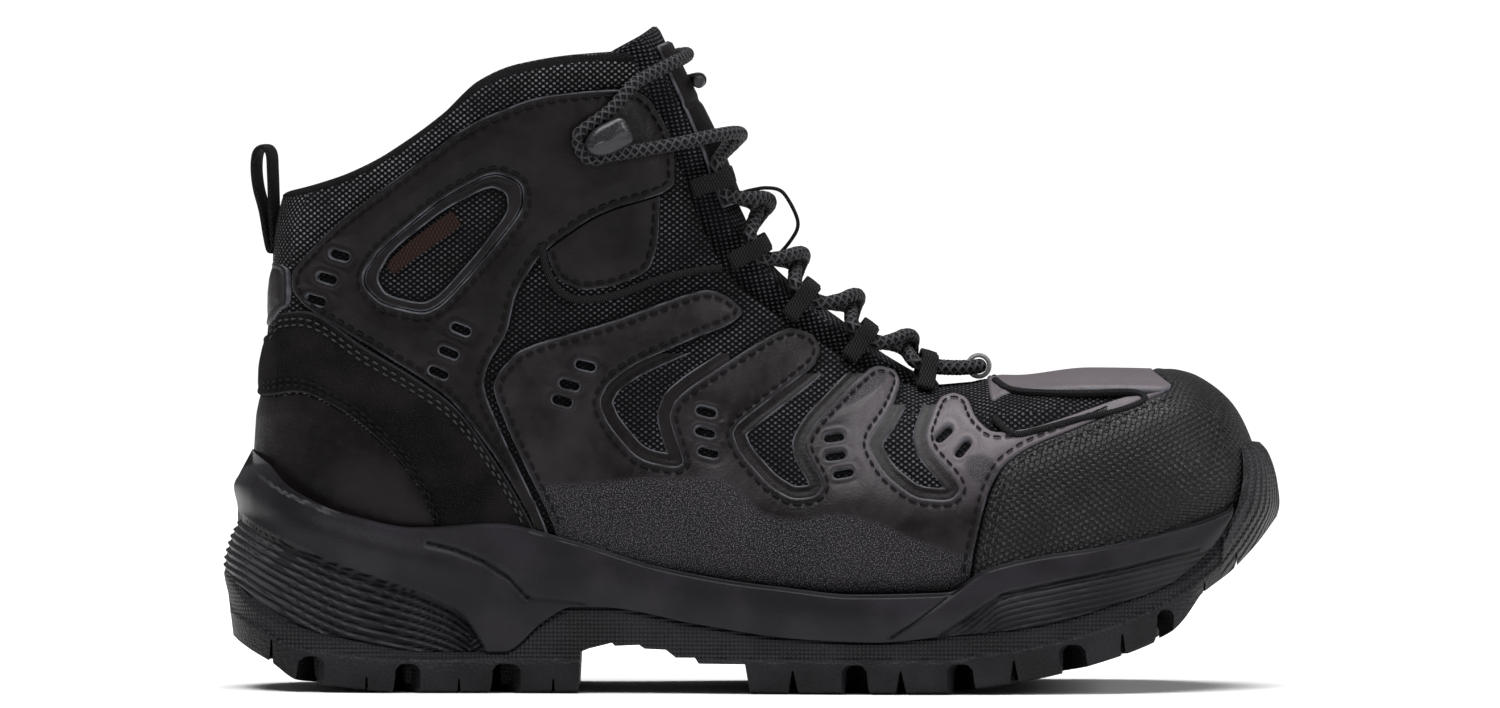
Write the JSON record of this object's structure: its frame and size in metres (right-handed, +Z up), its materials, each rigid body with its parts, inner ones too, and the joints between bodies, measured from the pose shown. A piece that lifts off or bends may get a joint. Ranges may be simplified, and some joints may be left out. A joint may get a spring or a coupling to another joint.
{
  "type": "safety boot",
  "caption": "Right-foot mid-height lace-up safety boot with a lugged rubber sole, padded collar, leather overlays on a mesh upper and an internal steel toe cap.",
  "frame": {"origin": "middle of the bounding box, on the ground under the sole", "axes": "+X towards the toe, +Z up, -Y the outer side of the right foot"},
  "size_m": [0.3118, 0.1152, 0.1952],
  "materials": {
    "aglet_plastic": "clear-coated",
    "binding_cloth": "stretch binding",
    "board": "fibre board",
    "counter": "thermoplastic",
    "edge_strip": "matt",
    "footbed_foam": "foam with textile cover",
    "hook_plastic": "moulded",
    "lace_braid": "round braid",
    "leather_dark": "semi-matt, fine grain",
    "leather_satin": "satin, fine grain",
    "lining_cloth": "brushed textile",
    "midsole_foam": "satin moulded",
    "outsole_rubber": "moulded, knurled lugs",
    "ring_plastic": "moulded",
    "steel": "pressed",
    "suede_band": "speckled nubuck",
    "toe_grip": "pebbled grip",
    "upper_mesh": "woven mesh with light specks",
    "webbing": "woven webbing",
    "woven_patch": "plain woven patch"
  },
  "bodies": {
    "boot": {"ankle_overlay_lateral": "leather_dark", "ankle_overlay_medial": "leather_dark", "backstay": "leather_dark", "cage_lateral": "leather_satin", "cage_medial": "leather_satin", "cap_edge_strip": "edge_strip", "collar_binding": "binding_cloth", "collar_lining": "lining_cloth", "eyestay_panel_lateral": "leather_dark", "eyestay_panel_medial": "leather_dark", "heel_counter": "counter", "heel_guard": "suede_band", "heel_panel": "leather_dark", "insole_board": "board", "lace": "lace_braid", "lace_aglet_lateral": "aglet_plastic", "lace_aglet_medial": "aglet_plastic", "lace_loop_lateral_1": "webbing", "lace_loop_lateral_2": "webbing", "lace_loop_lateral_3": "webbing", "lace_loop_lateral_4": "webbing", "lace_loop_lateral_5": "webbing", "lace_loop_medial_1": "webbing", "lace_loop_medial_2": "webbing", "lace_loop_medial_3": "webbing", "lace_loop_medial_4": "webbing", "lace_loop_medial_5": "webbing", "lace_ring": "ring_plastic", "midsole": "midsole_foam", "outsole": "outsole_rubber", "quarter_lateral": "upper_mesh", "quarter_medial": "upper_mesh", "shank_plate": "steel", "speed_hook_lateral": "hook_plastic", "speed_hook_medial": "hook_plastic", "steel_toe_cap": "steel", "toe_guard": "toe_grip", "vamp": "upper_mesh", "vamp_lining": "lining_cloth", "vamp_saddle": "leather_satin", "window_patch_lateral": "woven_patch", "window_patch_medial": "woven_patch"},
    "tongue": {"tongue_pad": "upper_mesh", "tongue_badge": "leather_dark", "tongue_keeper": "webbing"},
    "pull_loop": {"heel_pull_loop": "webbing"},
    "footbed": {"footbed": "footbed_foam"}
  },
  "joints": [
    {"name": "tongue_tilt", "type": "hinge", "parent": "boot", "child": "tongue", "pos_m": [0.058, 0, 0.085], "axis": [0, 1, 0], "range_deg": [-10, 0], "stiffness_Nm_per_rad": 0.4, "springref_deg": 114.59},
    {"name": "heel_loop_swing", "type": "hinge", "parent": "boot", "child": "pull_loop", "pos_m": [-0.1404, 0, 0.1276], "axis": [0, 1, 0], "range_deg": [-70, 3], "stiffness_Nm_per_rad": 0.002},
    {"name": "footbed_lift", "type": "hinge", "parent": "boot", "child": "footbed", "pos_m": [0.112, 0.002, 0.038], "axis": [0, 1, 0], "range_deg": [0, 8]}
  ]
}
